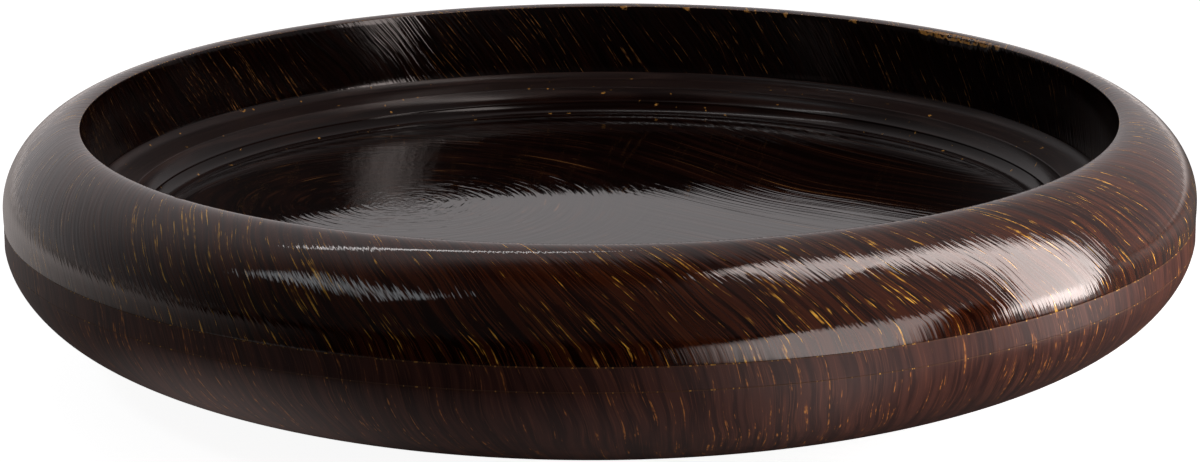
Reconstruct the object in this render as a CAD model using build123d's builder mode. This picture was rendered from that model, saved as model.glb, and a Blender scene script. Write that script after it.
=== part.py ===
"""Low centrepiece bowl: turned rings glued up round a hollow, closed below by a board and a foot.

Every piece is a ring or a disc about the +Z axis. The origin is the middle of the resting face.
Sections are drawn in the XZ plane as (radius, height) and revolved.
"""
from build123d import *
import os

# ---- driving dimensions, millimetres ----
overall_radius = 225.0        # widest point of the rolled rim
opening_radius = 195.4        # arris of the opening
crease_radius = 224.8         # both creases round the belly
lip_height = 93.1             # opening arris above the table
crown_radius = 198.6
crown_height = 93.6           # highest point of the rolled rim
widest_height = 64.0
crease_height = 58.6          # upper crease, where rim and body meet
band_height = 8.7             # upright band between the creases
band_thickness = 3.0
floor_height = 52.8           # top of the floor panel
board_thickness = 9.0         # floor panel and base board
wall_foot_radius = 192.4      # foot of the steep inner wall
wall_foot_height = 66.4
wall_sweep_radius = 188.7     # hollow between wall and shelf runs out here
wall_sweep_height = 62.9
shelf_height = 62.8           # shelf where rim ring and step ring meet
shelf_edge_radius = 177.9     # inner edge of the shelf
shelf_edge_height = 62.3
step_radius = 173.6           # small riser between the two coves
step_height = 57.1
riser = 0.7
cove_end_radius = 167.6       # where the lower cove runs out on the floor
cove_edge = 0.3
pocket_radius = 186.0         # pocket that takes the floor panel and the step ring
ledge_radius = 172.0          # inner edge of the ledge under the floor panel
tongue_inner_radius = 200.0   # tongue on the body, groove in the rim
tongue_outer_radius = 207.0
tongue_height = 4.0
foot_outer_radius = 132.0
foot_inner_radius = 120.0
felt_thickness = 1.5
felt_margin = 1.0
foot_bottom = felt_thickness
base_board_bottom = 6.5
shell_inner_radius = 122.0    # mouth of the shell above the base board
shell_underside = 3.0         # underside of the shell beside the foot
support_inner_radius = 62.0
support_outer_radius = 76.0
edge_round = 0.6              # worn arrises

lower_crease_height = crease_height - band_height
floor_underside = floor_height - board_thickness
base_board_top = base_board_bottom + board_thickness


def piece(name, part):
    """Label a finished piece and write it under its node name."""
    part.label = name
    export_step(part, f"parts/{name}.step")


os.makedirs("parts", exist_ok=True)

# ---- rim ring: rolled dome outside, steep wall and start of the shelf inside, groove below ----
with BuildPart() as rim_ring:
    with BuildSketch(Plane.XZ):
        with BuildLine():
            TangentArc((crown_radius, crown_height), (opening_radius, lip_height), tangent=(-1, 0))
            Spline(
                (crown_radius, crown_height),
                (207.2, 91.0),
                (214.8, 85.6),
                (220.6, 78.6),
                (overall_radius, widest_height),
                tangents=[(1, 0), (0, -1)],
            )
            TangentArc((overall_radius, widest_height), (crease_radius, crease_height), tangent=(0, -1))
            Polyline(
                (crease_radius, crease_height),
                (tongue_outer_radius, crease_height),
                (tongue_outer_radius, crease_height + tongue_height),
                (tongue_inner_radius, crease_height + tongue_height),
                (tongue_inner_radius, crease_height),
                (pocket_radius, crease_height),
                (pocket_radius, shelf_height),
                (wall_sweep_radius, wall_sweep_height),
            )
            TangentArc(
                (wall_sweep_radius, wall_sweep_height),
                (wall_foot_radius, wall_foot_height),
                tangent=(1, 0.06),
            )
            Line((wall_foot_radius, wall_foot_height), (opening_radius, lip_height))
        make_face()
    revolve(axis=Axis.Z)
piece("rim_ring", rim_ring.part)

# ---- belly band: upright hoop let into the body between the two creases ----
with BuildPart() as belly_band:
    with BuildSketch(Plane.XZ):
        with Locations((crease_radius - band_thickness / 2, crease_height - band_height / 2)):
            Rectangle(band_thickness, band_height)
    revolve(axis=Axis.Z)
piece("belly_band", belly_band.part)

# ---- lower shell: body from the lower crease to the foot, hollow inside ----
with BuildPart() as lower_shell:
    with BuildSketch(Plane.XZ):
        with BuildLine():
            Spline(
                (crease_radius, lower_crease_height),
                (213.3, 29.8),
                (189.6, 15.7),
                (160.0, 7.1),
                (foot_outer_radius, shell_underside),
                tangents=[(-0.15, -1.0), (-1.0, -0.12)],
            )
            Polyline(
                (foot_outer_radius, shell_underside),
                (foot_outer_radius, base_board_top),
                (shell_inner_radius, base_board_top),
                (shell_inner_radius, base_board_top + 3.0),
            )
            Spline(
                (shell_inner_radius, base_board_top + 3.0),
                (152.0, 24.0),
                (ledge_radius, floor_underside),
                tangents=[(1.0, 0.1), (0.35, 1.0)],
            )
            Polyline(
                (ledge_radius, floor_underside),
                (pocket_radius, floor_underside),
                (pocket_radius, crease_height),
                (tongue_inner_radius, crease_height),
                (tongue_inner_radius, crease_height + tongue_height),
                (tongue_outer_radius, crease_height + tongue_height),
                (tongue_outer_radius, crease_height),
                (crease_radius - band_thickness, crease_height),
                (crease_radius - band_thickness, lower_crease_height),
                (crease_radius, lower_crease_height),
            )
        make_face()
    revolve(axis=Axis.Z)
piece("lower_shell", lower_shell.part)

# ---- step ring: rest of the shelf, then two hollow coves with a small riser between them ----
with BuildPart() as step_ring:
    with BuildSketch(Plane.XZ):
        with BuildLine():
            Polyline(
                (cove_end_radius, floor_height + cove_edge),
                (cove_end_radius, floor_height),
                (pocket_radius, floor_height),
                (pocket_radius, shelf_height),
                (shelf_edge_radius, shelf_edge_height),
            )
            RadiusArc((shelf_edge_radius, shelf_edge_height), (step_radius, step_height), 9.0)
            Line((step_radius, step_height), (step_radius, step_height - riser))
            RadiusArc(
                (step_radius, step_height - riser),
                (cove_end_radius, floor_height + cove_edge),
                7.5,
            )
        make_face()
    revolve(axis=Axis.Z)
piece("step_ring", step_ring.part)

# ---- floor panel: flat disc on the ledge, held down by the step ring ----
with BuildPart() as floor_panel:
    with BuildSketch(Plane.XY.offset(floor_underside)):
        Circle(pocket_radius)
    extrude(amount=board_thickness)
piece("floor_panel", floor_panel.part)

# ---- support ring: carries the middle of the floor panel ----
with BuildPart() as support_ring:
    with BuildSketch(Plane.XY.offset(base_board_top)):
        Circle(support_outer_radius)
        Circle(support_inner_radius, mode=Mode.SUBTRACT)
    extrude(amount=floor_underside - base_board_top)
piece("support_ring", support_ring.part)

# ---- base board: closes the underside inside the rebate of the shell ----
with BuildPart() as base_board:
    with BuildSketch(Plane.XY.offset(base_board_bottom)):
        Circle(foot_outer_radius)
    extrude(amount=board_thickness)
piece("base_board", base_board.part)

# ---- foot ring: low ring in the same rebate, eased along its lower edges ----
with BuildPart() as foot_ring:
    with BuildSketch(Plane.XY.offset(foot_bottom)):
        Circle(foot_outer_radius)
        Circle(foot_inner_radius, mode=Mode.SUBTRACT)
    extrude(amount=base_board_bottom - foot_bottom)
    fillet(foot_ring.edges().group_by(Axis.Z)[0], edge_round)
piece("foot_ring", foot_ring.part)

# ---- felt ring: soft ring that meets the table ----
with BuildPart() as felt_ring:
    with BuildSketch(Plane.XY):
        Circle(foot_outer_radius - felt_margin)
        Circle(foot_inner_radius + felt_margin, mode=Mode.SUBTRACT)
    extrude(amount=felt_thickness)
piece("felt_ring", felt_ring.part)
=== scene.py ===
"""Looks of the lacquered bowl: turned rings rebuilt as dense meshes, brushed lacquer, studio light.

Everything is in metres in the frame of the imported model. Each ring is a closed section of
(radius, height) points turned about +Z. Three numbers on every vertex steer the lacquer: "run" is
the distance along the skin from the arris of the opening, outward positive, "twist" is how far the
spiral strokes have turned by then, and "wear" is how deep the arris is chipped there.
"""
import math

import bpy
import numpy as np
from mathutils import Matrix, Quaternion, Vector


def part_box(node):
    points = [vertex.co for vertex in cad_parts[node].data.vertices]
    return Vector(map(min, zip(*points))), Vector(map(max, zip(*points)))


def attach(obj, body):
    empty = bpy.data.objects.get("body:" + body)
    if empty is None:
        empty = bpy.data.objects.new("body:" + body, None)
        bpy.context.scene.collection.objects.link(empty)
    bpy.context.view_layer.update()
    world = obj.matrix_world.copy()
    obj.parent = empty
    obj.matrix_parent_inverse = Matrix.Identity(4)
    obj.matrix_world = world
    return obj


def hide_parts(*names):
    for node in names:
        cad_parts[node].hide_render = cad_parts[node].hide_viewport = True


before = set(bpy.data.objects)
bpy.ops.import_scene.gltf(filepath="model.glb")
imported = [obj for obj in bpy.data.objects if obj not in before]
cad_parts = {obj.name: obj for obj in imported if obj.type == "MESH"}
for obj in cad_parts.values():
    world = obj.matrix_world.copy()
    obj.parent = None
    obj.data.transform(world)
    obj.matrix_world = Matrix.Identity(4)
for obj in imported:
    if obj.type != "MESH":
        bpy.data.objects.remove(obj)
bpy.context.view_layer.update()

MM = 0.001

# ---- driving dimensions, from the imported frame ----
RIM_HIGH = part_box("rim_ring")[1]
BAND_LOW, BAND_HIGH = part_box("belly_band")
FLOOR_LOW, FLOOR_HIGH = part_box("floor_panel")
STEP_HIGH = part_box("step_ring")[1]
BOARD_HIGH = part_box("base_board")[1]
WIDEST = RIM_HIGH[0]                  # radius of the rolled rim
CROWN = RIM_HIGH[2]                   # highest point of the rim
CREASE = BAND_HIGH[0]                 # radius of both creases
CREASE_Z = BAND_HIGH[2]               # upper crease
LOWER_CREASE_Z = BAND_LOW[2]
FLOOR_Z = FLOOR_HIGH[2]
FLOOR_UNDER = FLOOR_LOW[2]
POCKET = FLOOR_HIGH[0]
SHELF_Z = STEP_HIGH[2]                # shelf where rim ring and step ring meet
BOARD_R = BOARD_HIGH[0]
BOARD_TOP = BOARD_HIGH[2]

OPENING = 195.4 * MM                  # arris of the opening
LIP_Z = 93.1 * MM
CROWN_R = 198.6 * MM
WIDEST_Z = 64.0 * MM
WALL_FOOT = (192.4 * MM, 66.4 * MM)   # foot of the steep inner wall
WALL_SWEEP = (188.7 * MM, 62.9 * MM)  # hollow between wall and shelf runs out here
SHELF_EDGE = (177.9 * MM, 62.3 * MM)
STEP_R = 173.6 * MM
STEP_Z = 57.1 * MM
RISER = 0.7 * MM
COVE_END = 167.6 * MM
COVE_EDGE = 0.3 * MM
LEDGE = 172.0 * MM
TONGUE_IN = 200.0 * MM
TONGUE_OUT = 207.0 * MM
TONGUE_H = 4.0 * MM
SHELL_MOUTH = 122.0 * MM
SHELL_UNDER = 3.0 * MM
BAND_T = 3.0 * MM

SEGMENTS = 1200                       # quads round a large ring
FEWER_SEGMENTS = 720                  # the same for plainer pieces
HARD_CORNER = 32.0                    # corners sharper than this shade apart, degrees
CHIPPED = 41.5                        # bearing of the worn stretch of the arris, degrees from +X


# ---------------------------------------------------------------- sections
def straight(a, b, step):
    """Points from a to b, b left out."""
    a, b = np.array(a), np.array(b)
    n = max(1, int(math.ceil(np.linalg.norm(b - a) / step)))
    return [tuple(a + (b - a) * i / n) for i in range(n)]


def tangent_arc(a, b, tangent, step):
    """Arc that leaves a along tangent and ends at b, b left out."""
    a, b, t = np.array(a), np.array(b), np.array(tangent, float)
    t /= np.linalg.norm(t)
    chord = b - a
    side = np.array([-t[1], t[0]])
    radius = chord @ chord / (2 * (chord @ side))
    centre = a + side * radius
    turn = 2 * math.atan2(chord @ side, chord @ t)
    n = max(2, int(math.ceil(abs(radius * turn) / step)))
    spoke = a - centre
    out = []
    for i in range(n):
        c, s = math.cos(turn * i / n), math.sin(turn * i / n)
        out.append(tuple(centre + (spoke[0] * c - spoke[1] * s, spoke[0] * s + spoke[1] * c)))
    return out


def hollow_arc(a, b, radius, step):
    """Concave cove from a to b, bulging towards the lower left, b left out."""
    a, b = np.array(a), np.array(b)
    chord = b - a
    length = np.linalg.norm(chord)
    side = np.array([chord[1], -chord[0]]) / length
    middle = (a + b) / 2 + side * math.sqrt(radius ** 2 - (length / 2) ** 2)
    start, end = a - middle, b - middle
    turn = math.atan2(start[0] * end[1] - start[1] * end[0], start @ end)
    n = max(3, int(math.ceil(abs(radius * turn) / step)))
    out = []
    for i in range(n):
        c, s = math.cos(turn * i / n), math.sin(turn * i / n)
        out.append(tuple(middle + (start[0] * c - start[1] * s, start[0] * s + start[1] * c)))
    return out


def spline(points, start, end, step):
    """Clamped cubic spline through points with unit end tangents, last point left out."""
    p = np.array(points, float)
    h = np.linalg.norm(np.diff(p, axis=0), axis=1)
    n = len(p)
    system = np.zeros((n, n))
    right = np.zeros((n, 2))
    system[0, 0] = system[-1, -1] = 1.0
    right[0] = np.array(start) / np.linalg.norm(start)
    right[-1] = np.array(end) / np.linalg.norm(end)
    for i in range(1, n - 1):
        system[i, i - 1] = h[i]
        system[i, i] = 2 * (h[i - 1] + h[i])
        system[i, i + 1] = h[i - 1]
        before = (p[i] - p[i - 1]) / h[i - 1]
        after = (p[i + 1] - p[i]) / h[i]
        right[i] = 3 * (before * h[i] + after * h[i - 1])
    slope = np.linalg.solve(system, right)
    out = []
    for i in range(n - 1):
        count = max(2, int(math.ceil(h[i] / step)))
        for k in range(count):
            t = k / count
            out.append(tuple(
                (2 * t ** 3 - 3 * t ** 2 + 1) * p[i] + (t ** 3 - 2 * t ** 2 + t) * h[i] * slope[i]
                + (3 * t ** 2 - 2 * t ** 3) * p[i + 1] + (t ** 3 - t ** 2) * h[i] * slope[i + 1]
            ))
    return out


def eased(section, corners, size):
    """The closed section with each named corner cut back by size and rounded."""
    out = []
    count = len(section)
    for i, point in enumerate(section):
        if not any(math.dist(point, c) < 1e-6 for c in corners):
            out.append(point)
            continue
        p = np.array(point)
        before = np.array(section[i - 1]) - p
        after = np.array(section[(i + 1) % count]) - p
        a = p + before * min(0.45, size / np.linalg.norm(before))
        b = p + after * min(0.45, size / np.linalg.norm(after))
        for t in (0.0, 0.33, 0.67, 1.0):
            out.append(tuple((1 - t) ** 2 * a + 2 * t * (1 - t) * p + t ** 2 * b))
    return out


ARRIS = (OPENING, LIP_Z)
UPPER_CREASE = (CREASE, CREASE_Z)
LOWER_CREASE = (CREASE, LOWER_CREASE_Z)
EDGE_EASE = 0.22 * MM                 # outer arrises
COVE_EASE = 0.25 * MM                 # arrises of shelf and coves


def dome_outline(step):
    """Outer skin of the rim from the arris to the upper crease, crease left out."""
    lip = tangent_arc((CROWN_R, CROWN), ARRIS, (-1, 0), step / 2)
    lip = [ARRIS] + lip[:0:-1]
    roll = spline(
        [
            (CROWN_R, CROWN),
            (207.2 * MM, 91.0 * MM),
            (214.8 * MM, 85.6 * MM),
            (220.6 * MM, 78.6 * MM),
            (WIDEST, WIDEST_Z),
        ],
        (1, 0),
        (0, -1),
        step,
    )
    under = tangent_arc((WIDEST, WIDEST_Z), UPPER_CREASE, (0, -1), step)
    return lip + roll + under


def shell_outline(step):
    """Outer skin of the body below the band, last point left out."""
    return spline(
        [
            LOWER_CREASE,
            (213.3 * MM, 29.8 * MM),
            (189.6 * MM, 15.7 * MM),
            (160.0 * MM, 7.1 * MM),
            (BOARD_R, SHELL_UNDER),
        ],
        (-0.15, -1.0),
        (-1.0, -0.12),
        step,
    )


def rim_section():
    """Rolled rim: dome outside, groove below, shelf, sweep and steep wall inside."""
    skin = dome_outline(1.3 * MM)
    joint = [
        UPPER_CREASE,
        (TONGUE_OUT, CREASE_Z),
        (TONGUE_OUT, CREASE_Z + TONGUE_H),
        (TONGUE_IN, CREASE_Z + TONGUE_H),
        (TONGUE_IN, CREASE_Z),
        (POCKET, CREASE_Z),
        (POCKET, SHELF_Z),
    ]
    sweep = tangent_arc(WALL_SWEEP, WALL_FOOT, (1.0, 0.06), 0.9 * MM)
    wall = straight(WALL_FOOT, ARRIS, 2.4 * MM)
    return eased(skin + joint + sweep + wall, [ARRIS, UPPER_CREASE], EDGE_EASE)


def band_section():
    """Upright hoop between the creases."""
    inner = CREASE - BAND_T
    skin = straight(UPPER_CREASE, LOWER_CREASE, 0.8 * MM)
    section = skin + [LOWER_CREASE, (inner, LOWER_CREASE_Z), (inner, CREASE_Z)]
    return eased(section, [UPPER_CREASE, LOWER_CREASE], EDGE_EASE)


def shell_section():
    """Hollow body below the band, with the rebate for board and foot."""
    hollow = spline(
        [(SHELL_MOUTH, BOARD_TOP + 3.0 * MM), (152.0 * MM, 24.0 * MM), (LEDGE, FLOOR_UNDER)],
        (1.0, 0.1),
        (0.35, 1.0),
        6.0 * MM,
    )
    rebate = [(BOARD_R, SHELL_UNDER), (BOARD_R, BOARD_TOP), (SHELL_MOUTH, BOARD_TOP)]
    joint = [
        (LEDGE, FLOOR_UNDER),
        (POCKET, FLOOR_UNDER),
        (POCKET, CREASE_Z),
        (TONGUE_IN, CREASE_Z),
        (TONGUE_IN, CREASE_Z + TONGUE_H),
        (TONGUE_OUT, CREASE_Z + TONGUE_H),
        (TONGUE_OUT, CREASE_Z),
        (CREASE - BAND_T, CREASE_Z),
        (CREASE - BAND_T, LOWER_CREASE_Z),
    ]
    section = shell_outline(2.0 * MM) + rebate + hollow + joint
    return eased(section, [LOWER_CREASE, (BOARD_R, SHELL_UNDER)], EDGE_EASE)


def step_section():
    """Shelf and the two hollow coves under it."""
    shelf = straight((POCKET, SHELF_Z), SHELF_EDGE, 2.0 * MM)
    upper = hollow_arc(SHELF_EDGE, (STEP_R, STEP_Z), 9.0 * MM, 0.5 * MM)
    lower = hollow_arc((STEP_R, STEP_Z - RISER), (COVE_END, FLOOR_Z + COVE_EDGE), 7.5 * MM, 0.5 * MM)
    rest = [
        (COVE_END, FLOOR_Z + COVE_EDGE),
        (COVE_END, FLOOR_Z),
        (POCKET, FLOOR_Z),
    ]
    corners = [SHELF_EDGE, (STEP_R, STEP_Z), (COVE_END, FLOOR_Z + COVE_EDGE)]
    return eased(shelf + upper + [(STEP_R, STEP_Z)] + lower + rest, corners, COVE_EASE)


def panel_section():
    """Flat floor of the bowl."""
    top = straight((POCKET, FLOOR_Z), (0.0, FLOOR_Z), 4.0 * MM)
    return [(0.0, FLOOR_UNDER), (POCKET, FLOOR_UNDER)] + top + [(0.0, FLOOR_Z)]


# ---------------------------------------------------------------- brush pattern
def path_length(points):
    """Length of the line through the points."""
    return float(np.linalg.norm(np.diff(np.array(points), axis=0), axis=1).sum())


DOME_RUN = path_length(dome_outline(0.5 * MM) + [UPPER_CREASE])
CREASE_RUN = DOME_RUN
LOWER_CREASE_RUN = DOME_RUN + CREASE_Z - LOWER_CREASE_Z
WALL_RUN = (-27.5 * MM, -0.2 * MM)    # steep wall below the arris
SWEEP_RUN = (-36.0 * MM, -27.5 * MM)  # hollow and outer shelf below the wall
STROKE_RADIUS = 215 * MM              # radius at which the lean of a stroke is given
NOISE_RADIUS = 210 * MM               # radius at which a cell has its stated width
# sideways travel of a stroke for each unit of run, at: shelf, both sides of the arris, upper dome,
# just above the crease, lower crease, foot
STROKE_RUN = [-0.040, -0.004, 0.004, 0.045, CREASE_RUN - 0.008, LOWER_CREASE_RUN, 0.16]
STROKE_LEAN = [0.76, 0.76, 0.88, 0.95, 0.55, 0.18, 0.10]


def twist_at(run):
    """Angle that the strokes have turned through at a run."""
    grid = np.linspace(-0.06, 0.20, 521)
    rate = np.interp(grid, STROKE_RUN, STROKE_LEAN) / STROKE_RADIUS
    turned_by = np.concatenate([[0.0], np.cumsum((rate[1:] + rate[:-1]) / 2 * np.diff(grid))])
    return np.interp(run, grid, turned_by)


def section_runs(section, origin, start_run, sign):
    """Run of every section point, measured along the section from the point at origin."""
    pts = np.array(section)
    k = int(np.argmin(np.linalg.norm(pts - np.array(origin), axis=1)))
    order = [(k + i) % len(pts) for i in range(len(pts))]
    runs = np.zeros(len(pts))
    total = 0.0
    for a, b in zip(order, order[1:]):
        total += float(np.linalg.norm(pts[b] - pts[a]))
        runs[b] = total
    back = total + float(np.linalg.norm(pts[order[0]] - pts[order[-1]]))
    halfway = np.where(runs > back / 2, runs - back, runs)
    return start_run + sign * halfway


# ---------------------------------------------------------------- meshes
# bearing and half width in degrees, depth in mm
CHIPS = (
    (46.4, 1.6, 0.5),
    (42.6, 2.6, 1.1),
    (39.6, 1.5, 0.9),
    (37.2, 1.4, 0.55),
    (34.9, 0.6, 0.4),
    (57.5, 0.8, 0.22),
    (66.5, 0.35, 0.3),
    (71.0, 0.9, 0.22),
    (79.0, 0.6, 0.22),
    (87.0, 1.0, 0.18),
    (221.0, 0.9, 0.25),
)
CHIP_REACH = 2.2 * MM                 # how far from the arris a chip runs out


def bearings(segments):
    """Angles round the bowl, closer together where the arris of the opening is chipped."""
    grid = np.linspace(0.0, 2 * math.pi, 3601)
    weight = np.where(abs(grid - math.radians(CHIPPED)) < math.radians(8.0), 3.0, 1.0)
    total = np.concatenate([[0.0], np.cumsum((weight[1:] + weight[:-1]) / 2)])
    return np.interp(np.arange(segments) / segments, total / total[-1], grid)


def chips(theta):
    """Depth of wear along the arris of the opening, zero nearly everywhere."""
    depth = np.zeros_like(theta)
    for angle, width, deep in CHIPS:
        gap = (theta - math.radians(angle) + math.pi) % (2 * math.pi) - math.pi
        shape = np.clip(1 - (gap / math.radians(width)) ** 2, 0, None)
        ragged = 0.64 + 0.36 * np.sin(theta * 263.0 + angle) * np.sin(theta * 97.0 + 2.0 * angle)
        depth = np.maximum(depth, deep * MM * np.sqrt(shape) * ragged * (shape > 0))
    return depth


def turned(name, section, node, material, runs=None, worn=False, segments=SEGMENTS):
    """Closed ring or disc turned from a section, standing for one CAD node."""
    pts = np.array(section)
    on_axis = pts[:, 0] < 1e-7
    theta = bearings(segments) if worn else np.arange(segments) * 2 * math.pi / segments
    rows = []
    verts = []
    wear = []
    for j, (r, z) in enumerate(pts):
        if on_axis[j]:
            rows.append([len(verts)] * segments)
            verts.append((0.0, 0.0, z))
            wear.append(0.0)
            continue
        start = len(verts)
        near = math.dist((r, z), ARRIS)
        cut = chips(theta) * max(0.0, 1 - near / CHIP_REACH) if worn else 0.0 * theta
        radius = r + cut * (0.9 if r <= OPENING + 0.1 * MM else 0.25)
        height = z - cut * 0.9
        verts.extend(zip(radius * np.cos(theta), radius * np.sin(theta), height))
        wear.extend(cut / (0.3 * MM))
        rows.append(list(range(start, start + segments)))
    faces = []
    count = len(pts)
    for j in range(count):
        a, b = rows[j], rows[(j + 1) % count]
        if on_axis[j] and on_axis[(j + 1) % count]:
            continue
        for i in range(segments):
            k = (i + 1) % segments
            corner = [a[i], a[k], b[k], b[i]]
            faces.append([v for n, v in enumerate(corner) if v not in corner[:n]])
    mesh = bpy.data.meshes.new(name)
    mesh.from_pydata(verts, [], faces)
    mesh.validate()
    mesh.update()
    obj = bpy.data.objects.new(name, mesh)
    bpy.context.scene.collection.objects.link(obj)
    set_outward(mesh)
    mesh.polygons.foreach_set("use_smooth", [True] * len(mesh.polygons))
    mesh.set_sharp_from_angle(angle=math.radians(HARD_CORNER))
    paint(mesh, rows, np.zeros(count) if runs is None else runs, wear)
    mesh.materials.append(material)
    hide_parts(node)
    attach(obj, "root")
    return obj


def paint(mesh, rows, runs, wear):
    """Writes run, twist and wear on every vertex."""
    run_of = np.zeros(len(mesh.vertices))
    for row, value in zip(rows, runs):
        run_of[row] = value
    for name, values in (("run", run_of), ("twist", twist_at(run_of)), ("wear", np.array(wear))):
        layer = mesh.attributes.new(name, "FLOAT", "POINT")
        layer.data.foreach_set("value", values.astype(np.float32))


def second_finish(obj, material, low, high):
    """Gives the faces whose mean run lies between low and high another material."""
    mesh = obj.data
    mesh.materials.append(material)
    run = np.zeros(len(mesh.vertices))
    mesh.attributes["run"].data.foreach_get("value", run)
    for face in mesh.polygons:
        if low <= np.mean(run[list(face.vertices)]) <= high:
            face.material_index = len(mesh.materials) - 1


def set_outward(mesh):
    """Faces point out of the solid: the signed volume is made positive."""
    co = np.zeros(len(mesh.vertices) * 3)
    mesh.vertices.foreach_get("co", co)
    co = co.reshape(-1, 3)
    mesh.calc_loop_triangles()
    tri = np.zeros(len(mesh.loop_triangles) * 3, dtype=np.int32)
    mesh.loop_triangles.foreach_get("vertices", tri)
    a, b, c = co[tri[0::3]], co[tri[1::3]], co[tri[2::3]]
    if np.einsum("ij,ij->i", a, np.cross(b, c)).sum() < 0:
        mesh.flip_normals()


# ---------------------------------------------------------------- materials
class Shade:
    """Adds nodes to one material or world, and links or sets their inputs."""

    def __init__(self, tree):
        self.tree = tree

    def put(self, socket, value):
        if isinstance(value, bpy.types.NodeSocket):
            self.tree.links.new(value, socket)
        else:
            socket.default_value = value

    def add(self, kind, values=(), **settings):
        node = self.tree.nodes.new(kind)
        for key, value in settings.items():
            setattr(node, key, value)
        for key, value in values:
            self.put(node.inputs[key], value)
        return node

    def math(self, operation, a, b=0.0):
        return self.add("ShaderNodeMath", [(0, a), (1, b)], operation=operation).outputs[0]

    def vector(self, operation, a, b=(0.0, 0.0, 0.0)):
        node = self.add("ShaderNodeVectorMath", [(0, a), (1, b)], operation=operation)
        return node.outputs[0]

    def length(self, a):
        return self.add("ShaderNodeVectorMath", [(0, a)], operation="LENGTH").outputs["Value"]

    def scaled(self, a, factor):
        node = self.add("ShaderNodeVectorMath", [(0, a), ("Scale", factor)], operation="SCALE")
        return node.outputs[0]

    def join(self, x, y, z):
        return self.add("ShaderNodeCombineXYZ", [(0, x), (1, y), (2, z)]).outputs[0]

    def split(self, a):
        return self.add("ShaderNodeSeparateXYZ", [(0, a)]).outputs

    def attribute(self, name):
        return self.add("ShaderNodeAttribute", attribute_name=name).outputs["Fac"]

    def place(self):
        return self.add("ShaderNodeTexCoord").outputs["Object"]

    def noise(self, at, detail=0.0, scale=1.0, roughness=0.5):
        values = [("Vector", at), ("Scale", scale), ("Detail", detail), ("Roughness", roughness)]
        return self.add("ShaderNodeTexNoise", values).outputs["Fac"]

    def ramp(self, value, low, high, to_low=0.0, to_high=1.0):
        values = [("Value", value), (1, low), (2, high), (3, to_low), (4, to_high)]
        node = self.add("ShaderNodeMapRange", values, interpolation_type="SMOOTHSTEP")
        return node.outputs[0]

    def blend(self, factor, a, b):
        node = self.add("ShaderNodeMix", data_type="RGBA", blend_type="MIX")
        self.put(node.inputs[0], factor)
        self.put(node.inputs[6], a)
        self.put(node.inputs[7], b)
        return node.outputs[2]

    def bump(self, height, distance):
        values = [("Height", height), ("Distance", distance), ("Strength", 1.0)]
        return self.add("ShaderNodeBump", values).outputs[0]


def colour(r, g, b):
    return (r, g, b, 1.0)


def surface(name):
    """A new material with an empty tree, its helper and its principled shader."""
    material = bpy.data.materials.new(name)
    material.use_nodes = True
    tree = material.node_tree
    tree.nodes.clear()
    shade = Shade(tree)
    shader = shade.add("ShaderNodeBsdfPrincipled")
    out = shade.add("ShaderNodeOutputMaterial")
    tree.links.new(shader.outputs[0], out.inputs["Surface"])
    return material, shade, shader


def finish_with(shade, shader, base, roughness, normal):
    """Links or sets the inputs that every material here has."""
    shade.put(shader.inputs["Base Color"], base)
    shade.put(shader.inputs["Roughness"], roughness)
    shade.put(shader.inputs["Normal"], normal)
    shader.inputs["IOR"].default_value = 1.5


SPECULAR = colour(1.0, 0.955, 0.95)


class Strokes:
    """Noise laid along the spiral brush strokes of the turned skin."""

    def __init__(self, shade):
        self.shade = shade
        place = shade.place()
        self.place = place
        self.run = shade.attribute("run")
        around = shade.vector("NORMALIZE", shade.vector("MULTIPLY", place, (1.0, 1.0, 0.0)))
        drift = shade.noise(place, detail=1.0, scale=22.0)
        wander = shade.math("MULTIPLY", shade.math("SUBTRACT", drift, 0.5), 0.05)
        turn = shade.math("ADD", shade.attribute("twist"), wander)
        back = shade.math("MULTIPLY", turn, -1.0)
        node = shade.add("ShaderNodeVectorRotate", [("Vector", around), ("Angle", back)])
        node.rotation_type = "Z_AXIS"
        self.around = node.outputs[0]

    def noise(self, across, along, shift=0.0, detail=0.0):
        """across is the size of a cell round the bowl and along its length down a stroke."""
        s = self.shade
        ring = s.scaled(self.around, NOISE_RADIUS / across)
        down = s.math("ADD", s.math("MULTIPLY", self.run, 1.0 / along), shift)
        return s.noise(s.vector("ADD", ring, s.join(0.0, 0.0, down)), detail=detail)


def line_at(shade, run, where, width):
    """One on a thin line round the bowl at a run, falling to zero over its width."""
    gap = shade.math("ABSOLUTE", shade.math("SUBTRACT", run, where))
    return shade.ramp(gap, width, width * 0.25)


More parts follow.
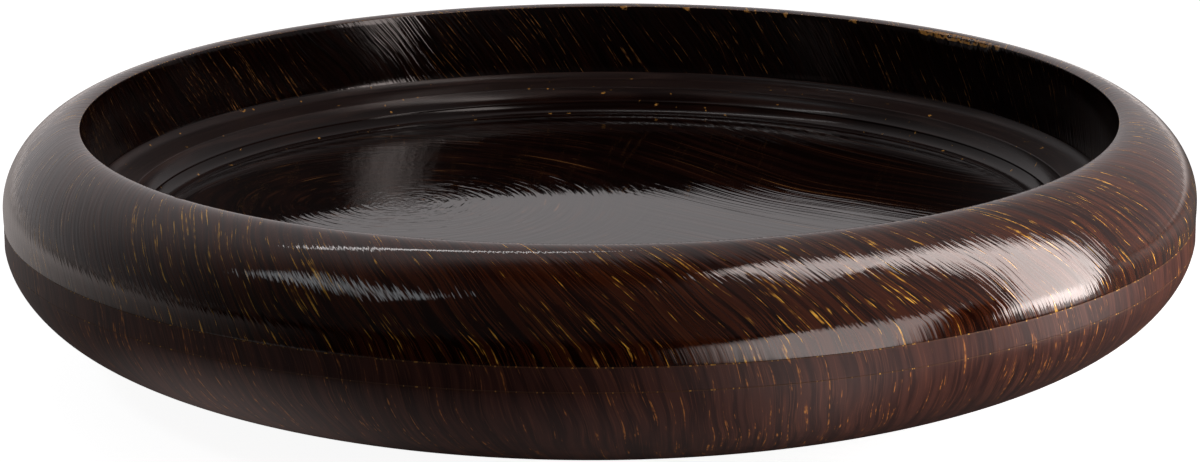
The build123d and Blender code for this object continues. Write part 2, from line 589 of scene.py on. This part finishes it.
def streaked(name, sparse, tones, grounds, roughness, relief, gloss, stretch=1.0):
    """Brushed lacquer: dark ground, fine bright streaks along the strokes, rubbed edges.

    sparse is the noise level above which a streak shows, tones are the two streak colours, and
    grounds are two shades of the ground and its fine lighter grain. stretch makes streaks longer
    and thinner.
    """
    material, s, shader = surface(name)
    strokes = Strokes(s)
    patches = s.noise(strokes.place, detail=2.0, scale=28.0)
    fine = strokes.noise(0.55 * MM, 15 * MM, 3.0, 1.0)
    broad = strokes.noise(2.6 * MM, 42 * MM, 9.0, 1.0)
    beads = strokes.noise(1.1 * MM, 2.4 * MM, 5.0, 1.0)
    short = strokes.noise(1.10 * MM / stretch, 11 * MM * stretch, 17.0, 1.0)
    long = strokes.noise(0.90 * MM / stretch, 34 * MM * stretch, 29.0, 1.0)
    bias = s.math("MULTIPLY", s.math("SUBTRACT", patches, 0.5), 0.26)
    gold_short = s.ramp(s.math("ADD", short, bias), sparse, sparse + 0.05)
    gold_long = s.ramp(s.math("ADD", long, bias), sparse + 0.005, sparse + 0.05)
    gold = s.math("MAXIMUM", gold_short, gold_long)
    gold = s.math("MULTIPLY", gold, s.ramp(beads, 0.34, 0.56, 0.25, 1.0))
    ground = s.blend(s.ramp(broad, 0.36, 0.66), colour(*grounds[0]), colour(*grounds[1]))
    brown = s.math("MULTIPLY", s.ramp(fine, 0.54, 0.70), 0.62)
    ground = s.blend(brown, ground, colour(*grounds[2]))
    tone = s.blend(s.ramp(beads, 0.42, 0.68), colour(*tones[0]), colour(*tones[1]))
    skin = s.blend(gold, ground, tone)
    dots = s.noise(s.vector("MULTIPLY", strokes.place, (900.0, 900.0, 0.0)), detail=1.0)
    for where, width, level in (
        (CREASE_RUN, 0.40 * MM, 0.585),
        (LOWER_CREASE_RUN, 0.34 * MM, 0.62),
        (0.0, 0.30 * MM, 0.60),
    ):
        near = line_at(s, strokes.run, where, width)
        seam = s.math("MULTIPLY", near, 0.30)
        skin = s.blend(seam, skin, colour(0.10, 0.045, 0.014))
        mask = s.math("MULTIPLY", near, s.ramp(dots, level, level + 0.07))
        skin = s.blend(mask, skin, colour(0.42, 0.23, 0.045))
    grit = s.noise(strokes.place, detail=1.0, scale=620.0)
    worn = s.attribute("wear")
    worn = s.math("MULTIPLY", worn, s.ramp(grit, 0.30, 0.68, 0.35, 1.5))
    edge = s.ramp(worn, 0.15, 0.45)
    bared = s.blend(s.ramp(worn, 0.95, 1.5), colour(0.36, 0.175, 0.040), colour(0.026, 0.009, 0.004))
    skin = s.blend(edge, skin, bared)
    ridges = strokes.noise(1.5 * MM, 24 * MM, 41.0, 2.0)
    normal = s.bump(ridges, relief)
    finish_with(s, shader, skin, roughness, normal)
    shader.inputs["Specular IOR Level"].default_value = gloss
    shader.inputs["Specular Tint"].default_value = SPECULAR
    return material


def turned_lacquer(name):
    """Dark lacquer brushed round the bowl: glossy in the coves, satin on the shelf above them, where a
    lighter greyish colour is partly the lacquer's own tone and partly painted sheen.
    """
    material, s, shader = surface(name)
    place = s.place()
    flat = s.vector("MULTIPLY", place, (1.0, 1.0, 0.0))
    reach = s.length(flat)
    height = s.split(place)[2]
    around = s.scaled(s.vector("NORMALIZE", flat), 5.0)
    profile = s.math("MULTIPLY", s.math("SUBTRACT", reach, height), 1400.0)
    lines = s.noise(s.vector("ADD", around, s.join(0.0, 0.0, profile)), detail=2.0)
    spots = s.noise(place, detail=1.0, scale=330.0)
    dark = colour(0.0045, 0.0013, 0.0009)
    skin = s.blend(s.ramp(lines, 0.45, 0.75), dark, colour(0.013, 0.0042, 0.0026))
    # painted sheen, partly: the shelf and the top of the upper cove are made lighter and greyer by
    # height to stand in for their sheen, while the roughness ramp gives their satin finish
    shelf = s.ramp(height, 57.5 * MM, 61.5 * MM)
    dull_tone_and_painted_sheen = colour(0.014, 0.0085, 0.0080)
    shelf_tone_and_painted_sheen = s.blend(s.ramp(lines, 0.40, 0.70), dull_tone_and_painted_sheen, colour(0.034, 0.021, 0.0185))
    skin = s.blend(shelf, skin, shelf_tone_and_painted_sheen)
    skin = s.blend(s.ramp(spots, 0.735, 0.775), skin, colour(0.36, 0.18, 0.04))
    finish_with(s, shader, skin, s.ramp(shelf, 0.0, 1.0, 0.13, 0.30), s.bump(lines, 0.00004))
    shader.inputs["Specular IOR Level"].default_value = 0.17
    return material


def swirled_lacquer(name):
    """Lacquer brushed in wide arcs about two centres, as on the floor."""
    material, s, shader = surface(name)
    place = s.place()
    drift = s.noise(place, detail=1.0, scale=9.0)
    bend = s.math("MULTIPLY", s.math("SUBTRACT", drift, 0.5), 0.02)
    rings = []
    for centre, shift in (((-0.075, 0.02, 0.0), 0.0), ((0.32, 0.30, 0.0), 40.0)):
        offset = s.vector("SUBTRACT", s.vector("MULTIPLY", place, (1.0, 1.0, 0.0)), centre)
        reach = s.math("ADD", s.length(offset), bend)
        around = s.scaled(s.vector("NORMALIZE", offset), 2.2)
        rings.append((reach, around, shift))
    east = s.split(place)[0]
    side = s.ramp(s.math("ADD", east, s.math("MULTIPLY", bend, 3.0)), -0.01, 0.05)

    def arcs(width, detail, shift):
        both = []
        for reach, around, extra in rings:
            across = s.math("ADD", s.math("MULTIPLY", reach, 1.0 / width), shift + extra)
            both.append(s.noise(s.vector("ADD", around, s.join(0.0, 0.0, across)), detail=detail))
        return s.blend(side, both[0], both[1])

    lines = arcs(1.6 * MM, 1.0, 3.0)
    broad = arcs(5.0 * MM, 1.0, 11.0)
    ridges = arcs(2.2 * MM, 2.0, 23.0)
    dark = colour(0.0030, 0.0009, 0.0007)
    skin = s.blend(s.ramp(broad, 0.40, 0.72), dark, colour(0.010, 0.0030, 0.0019))
    skin = s.blend(s.ramp(lines, 0.60, 0.74), skin, colour(0.030, 0.010, 0.0045))
    sparse = s.math("MULTIPLY", s.ramp(arcs(1.2 * MM, 0.0, 57.0), 0.76, 0.80), s.ramp(broad, 0.45, 0.60))
    skin = s.blend(sparse, skin, colour(0.16, 0.070, 0.022))
    finish_with(s, shader, skin, 0.035, s.bump(ridges, 0.00008))
    return material


def satin_lacquer(name):
    """Thin satin lacquer over turned board, with faint tool rings."""
    material, s, shader = surface(name)
    place = s.place()
    reach = s.length(s.vector("MULTIPLY", place, (1.0, 1.0, 0.0)))
    rings = s.noise(s.join(s.math("MULTIPLY", reach, 900.0), 0.0, 0.0), detail=2.0)
    cloud = s.noise(place, detail=3.0, scale=40.0)
    skin = s.blend(s.ramp(cloud, 0.35, 0.65), colour(0.010, 0.006, 0.005), colour(0.020, 0.011, 0.008))
    finish_with(s, shader, skin, 0.38, s.bump(rings, 0.00004))
    return material


def bare_wood(name):
    """Bare turned wood with growth lines across the ring."""
    material, s, shader = surface(name)
    place = s.place()
    grain = s.noise(s.vector("MULTIPLY", place, (12.0, 160.0, 160.0)), detail=4.0)
    pores = s.noise(s.vector("MULTIPLY", place, (60.0, 1500.0, 1500.0)), detail=1.0)
    skin = s.blend(s.ramp(grain, 0.35, 0.65), colour(0.44, 0.30, 0.17), colour(0.27, 0.16, 0.08))
    skin = s.blend(s.ramp(pores, 0.66, 0.74), skin, colour(0.14, 0.08, 0.04))
    finish_with(s, shader, skin, 0.62, s.bump(grain, 0.0002))
    return material


def wool_felt(name):
    """Pressed felt: matted fibres and a soft sheen."""
    material, s, shader = surface(name)
    place = s.place()
    mat = s.noise(place, detail=4.0, scale=900.0, roughness=0.7)
    tuft = s.noise(place, detail=2.0, scale=180.0)
    skin = s.blend(s.ramp(mat, 0.35, 0.65), colour(0.016, 0.014, 0.013), colour(0.050, 0.044, 0.040))
    height = s.math("ADD", mat, s.math("MULTIPLY", tuft, 0.6))
    finish_with(s, shader, skin, 0.95, s.bump(height, 0.0003))
    shader.inputs["Sheen Weight"].default_value = 0.4
    shader.inputs["Sheen Roughness"].default_value = 0.5
    return material


# ---------------------------------------------------------------- pieces
GOLD = ((0.24, 0.100, 0.014), (0.54, 0.30, 0.045))
RUSSET = ((0.11, 0.032, 0.010), (0.30, 0.12, 0.026))
TAN = ((0.042, 0.017, 0.006), (0.15, 0.074, 0.022))
RED_BROWN = ((0.0100, 0.0021, 0.0010), (0.037, 0.0086, 0.0032), (0.082, 0.024, 0.0078))
BODY_BROWN = ((0.020, 0.0060, 0.0047), (0.046, 0.0150, 0.0105), (0.086, 0.028, 0.0150))
NEAR_BLACK = ((0.0012, 0.0002, 0.0001), (0.0034, 0.0007, 0.0004), (0.014, 0.0036, 0.0014))

rim_lacquer = streaked("streaked_lacquer", 0.682, GOLD, RED_BROWN, 0.055, 0.13 * MM, 0.5)
wall_lacquer = streaked("streaked_wall_lacquer", 0.690, TAN, NEAR_BLACK, 0.09, 0.10 * MM, 0.26, 1.4)
body_lacquer = streaked("streaked_body_lacquer", 0.690, RUSSET, BODY_BROWN, 0.50, 0.08 * MM, 0.20)
cove_lacquer = turned_lacquer("dark_lacquer")
floor_lacquer = swirled_lacquer("swirled_lacquer")
under_lacquer = satin_lacquer("underside_lacquer")
support_wood = bare_wood("bare_wood")
felt_wool = wool_felt("felt")

rim_points = rim_section()
arris_near = (OPENING + 0.17 * MM, LIP_Z)
rim = turned(
    "rim_ring_skin",
    rim_points,
    "rim_ring",
    rim_lacquer,
    section_runs(rim_points, arris_near, 0.0, 1.0),
    worn=True,
)
second_finish(rim, wall_lacquer, *WALL_RUN)
second_finish(rim, cove_lacquer, *SWEEP_RUN)
band_points = band_section()
turned(
    "belly_band_skin",
    band_points,
    "belly_band",
    body_lacquer,
    section_runs(band_points, UPPER_CREASE, CREASE_RUN, 1.0),
    segments=FEWER_SEGMENTS,
)
shell_points = shell_section()
turned(
    "lower_shell_skin",
    shell_points,
    "lower_shell",
    body_lacquer,
    section_runs(shell_points, LOWER_CREASE, LOWER_CREASE_RUN, 1.0),
)
turned("step_ring_skin", step_section(), "step_ring", cove_lacquer)
turned(
    "floor_panel_skin",
    panel_section(),
    "floor_panel",
    floor_lacquer,
    segments=FEWER_SEGMENTS,
)
for node, material in (
    ("base_board", under_lacquer),
    ("foot_ring", under_lacquer),
    ("support_ring", support_wood),
    ("felt_ring", felt_wool),
):
    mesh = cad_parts[node].data
    mesh.materials.clear()
    mesh.materials.append(material)


# ---------------------------------------------------------------- studio
# pools of light on the table: centre, half widths, radiance
POOLS = (
    ((0.42, -0.145), (0.16, 0.09), 7.0),
    ((0.75, 0.10), (0.60, 0.50), 0.7),
    ((0.30, 1.60), (1.60, 1.50), 1.0),
    ((-0.9, 1.20), (1.00, 1.10), 0.6),
    ((-0.55, 0.15), (0.50, 0.70), 0.8),
    ((0.10, -0.10), (0.36, 0.30), 0.25),
    ((-0.15, -0.17), (0.12, 0.12), 0.9),
    ((0.02, -0.235), (0.20, 0.085), 0.35),
)
# brightness of the room by bearing from +Y towards +X, degrees
BACKDROP = (
    (-110, 0.03),
    (-85, 0.18),
    (-60, 0.46),
    (-25, 0.70),
    (10, 0.54),
    (40, 0.42),
    (75, 0.50),
    (100, 0.40),
    (125, 0.26),
    (150, 0.12),
    (166, 0.05),
)
BACKDROP_ENDS = 0.05
WEDGE_LEVEL = 4.2
FAR_LEVEL = 0.42
HALF_TABLE = 60.0
ROLL = Quaternion((0.0, 0.0, 1.0), math.radians(-0.36))


def plain_emitter(name, strength):
    """A new glowing material, its helper and its emission node."""
    material = bpy.data.materials.new(name)
    material.use_nodes = True
    tree = material.node_tree
    tree.nodes.clear()
    shade = Shade(tree)
    light = shade.add("ShaderNodeEmission", [("Strength", strength)])
    out = shade.add("ShaderNodeOutputMaterial")
    tree.links.new(light.outputs[0], out.inputs["Surface"])
    return material, shade, light


def stage_plane(name, corners, material):
    """One flat face that belongs to the studio and not to the bowl."""
    mesh = bpy.data.meshes.new(name)
    mesh.from_pydata(corners, [], [(0, 1, 2, 3)])
    mesh.materials.append(material)
    obj = bpy.data.objects.new(name, mesh)
    bpy.context.scene.collection.objects.link(obj)
    return obj


def hidden_from_camera(obj):
    """Leaves the object to be seen only by gloss and by soft light."""
    obj.visible_camera = False
    obj.visible_transmission = False
    obj.visible_shadow = False


def square(half, z):
    """Corners of a level square about the axis."""
    return [(-half, -half, z), (half, -half, z), (half, half, z), (-half, half, z)]


def pool(shade, place, centre, size, level):
    """Soft round pool of light on the table."""
    gap = shade.vector("SUBTRACT", place, (centre[0], centre[1], 0.0))
    gap = shade.vector("MULTIPLY", gap, (1.0 / size[0], 1.0 / size[1], 0.0))
    return shade.ramp(shade.length(gap), 1.0, 0.0, 0.0, level)


def wedge(shade, place, level):
    """Painted light: a bright stretch of table that opens away from the bowl to the right front."""
    x, y, _ = shade.split(place)
    x_near = shade.math("SUBTRACT", x, 0.20)
    upper = shade.math("ADD", shade.math("MULTIPLY", x_near, -0.44), -0.225)
    lower = shade.math("ADD", shade.math("MULTIPLY", x_near, -1.40), -0.60)
    below = shade.ramp(shade.math("SUBTRACT", upper, y), 0.0, 0.05)
    above = shade.ramp(shade.math("SUBTRACT", y, lower), -0.10, 0.16)
    inside = shade.math("MULTIPLY", below, above)
    return shade.math("MULTIPLY", shade.math("MULTIPLY", inside, shade.ramp(x, 0.05, 0.16)), level)


def build_floor():
    """Pale floor for the camera, and the same table as the gloss and soft light see it, as a glowing
    plane with painted light, brightest to the right, and painted shadow under the bowl.
    """
    material, shade, shader = surface("studio_floor")
    shader.inputs["Base Color"].default_value = colour(0.80, 0.80, 0.80)
    shader.inputs["Roughness"].default_value = 0.9
    shader.inputs["Specular IOR Level"].default_value = 0.0
    shader.inputs["Emission Color"].default_value = colour(1.0, 1.0, 1.0)
    shader.inputs["Emission Strength"].default_value = 0.93
    floor = stage_plane("studio_floor", square(HALF_TABLE, 0.0), material)
    floor.visible_glossy = False
    floor.visible_diffuse = False

    material, shade, light = plain_emitter("table_glow", 1.0)
    place = shade.place()
    total = wedge(shade, place, WEDGE_LEVEL)
    for centre, size, level in POOLS:
        total = shade.math("ADD", total, pool(shade, place, centre, size, level))
    # painted light on the far table behind the bowl, fading out towards the sides
    reach = shade.length(shade.vector("MULTIPLY", place, (1.0, 1.0, 0.0)))
    behind = shade.ramp(shade.math("DIVIDE", shade.split(place)[1], reach), -0.45, 0.0)
    far = shade.math("MULTIPLY", shade.ramp(reach, 0.6, 1.8), behind)
    far = shade.math("MULTIPLY", far, FAR_LEVEL)
    total = shade.math("ADD", total, far)
    # painted shadow: the painted table light fades to nothing under and close round the bowl
    total = shade.math("MULTIPLY", total, shade.ramp(reach, 0.15, 0.24))
    light.inputs["Color"].default_value = colour(1.0, 0.90, 0.87)
    shade.put(light.inputs["Strength"], total)
    glow = stage_plane("table_glow", square(HALF_TABLE, -0.5 * MM), material)
    hidden_from_camera(glow)


def build_world():
    """Bright backdrop behind and to the right, dark room towards the front left."""
    world = bpy.data.worlds.new("studio")
    bpy.context.scene.world = world
    world.use_nodes = True
    tree = world.node_tree
    tree.nodes.clear()
    shade = Shade(tree)
    way = shade.add("ShaderNodeTexCoord").outputs["Generated"]
    x, y, z = shade.split(way)
    bearing = shade.math("MULTIPLY", shade.math("ARCTAN2", x, y), 0.5 / math.pi)
    bearing = shade.math("ADD", bearing, 0.5)
    ramp = shade.add("ShaderNodeValToRGB", [("Fac", bearing)])
    ramp.color_ramp.interpolation = "B_SPLINE"
    stops = ramp.color_ramp.elements
    stops[0].position = 0.0
    stops[0].color = colour(BACKDROP_ENDS, BACKDROP_ENDS, BACKDROP_ENDS)
    stops[1].position = 1.0
    stops[1].color = colour(BACKDROP_ENDS, BACKDROP_ENDS, BACKDROP_ENDS)
    for degrees, level in BACKDROP:
        stop = stops.new((degrees + 180) / 360)
        stop.color = colour(level, level * 0.94, level * 0.95)
    rise = shade.ramp(z, math.sin(math.radians(80)), math.sin(math.radians(68)), 0.08, 1.0)
    rays = shade.add("ShaderNodeLightPath").outputs
    soft = shade.ramp(rays["Is Diffuse Ray"], 0.0, 1.0, 1.0, 0.5)
    level = shade.math("MULTIPLY", rise, soft)
    background = shade.add("ShaderNodeBackground", [("Color", ramp.outputs[0]), ("Strength", level)])
    pale = shade.add("ShaderNodeBackground", [("Color", colour(0.98, 0.98, 0.98))])
    mixed = shade.add(
        "ShaderNodeMixShader",
        [(0, rays["Is Camera Ray"]), (1, background.outputs[0]), (2, pale.outputs[0])],
    )
    out = shade.add("ShaderNodeOutputWorld")
    tree.links.new(mixed.outputs[0], out.inputs["Surface"])


def area_light(name, centre, aim, size, radiance, tint=(1.0, 1.0, 1.0)):
    """Rectangular lamp of one radiance, not seen by the camera."""
    data = bpy.data.lights.new(name, "AREA")
    data.shape = "RECTANGLE"
    data.size = size[0]
    data.size_y = size[1]
    data.energy = radiance * math.pi * size[0] * size[1]
    data.color = tint
    obj = bpy.data.objects.new(name, data)
    obj.location = centre
    obj.rotation_mode = "QUATERNION"
    obj.rotation_quaternion = (Vector(aim) - Vector(centre)).to_track_quat("-Z", "Y")
    obj.visible_camera = False
    bpy.context.scene.collection.objects.link(obj)
    return obj


def towards(bearing, height, distance):
    """Point at a bearing from +Y towards +X and a height angle, seen from the rim."""
    a, e = math.radians(bearing), math.radians(height)
    flat = math.cos(e) * distance
    return (math.sin(a) * flat, math.cos(a) * flat, math.sin(e) * distance + 0.07)


def build_lights():
    """Two tall panels close to the right front, a window to the left, a strip overhead."""
    near = 0.345
    warm = (1.0, 0.90, 0.86)
    area_light("panel_low", (near, -0.148, 0.25), (-1.0, -0.148, 0.25), (0.112, 0.50), 9.6, warm)
    area_light("panel_high", (near, -0.205, 0.95), (-1.0, -0.205, 0.95), (0.21, 0.90), 7.8, warm)
    cool = (0.86, 0.95, 1.0)
    area_light("window", towards(-121, 45, 2.6), (0, 0, 0.08), (1.35, 0.34), 2.4, cool)
    area_light("ceiling_strip", towards(-30, 63, 2.4), (0, 0, 0.08), (1.2, 0.055), 9.0)


def build_camera():
    """Long lens from the front, a little above the rim."""
    data = bpy.data.cameras.new("camera")
    data.sensor_width = 36.0
    data.lens = 132.0
    camera = bpy.data.objects.new("camera", data)
    camera.location = (0.0, -1.6216, 0.4710)
    aim = Vector((0.0, 0.0, 0.0465)) - camera.location
    camera.rotation_mode = "QUATERNION"
    camera.rotation_quaternion = aim.to_track_quat("-Z", "Y")
    camera.rotation_quaternion = camera.rotation_quaternion @ ROLL
    bpy.context.scene.collection.objects.link(camera)
    bpy.context.scene.camera = camera


build_floor()
build_world()
build_lights()
build_camera()
bpy.context.scene.view_settings.view_transform = "Standard"
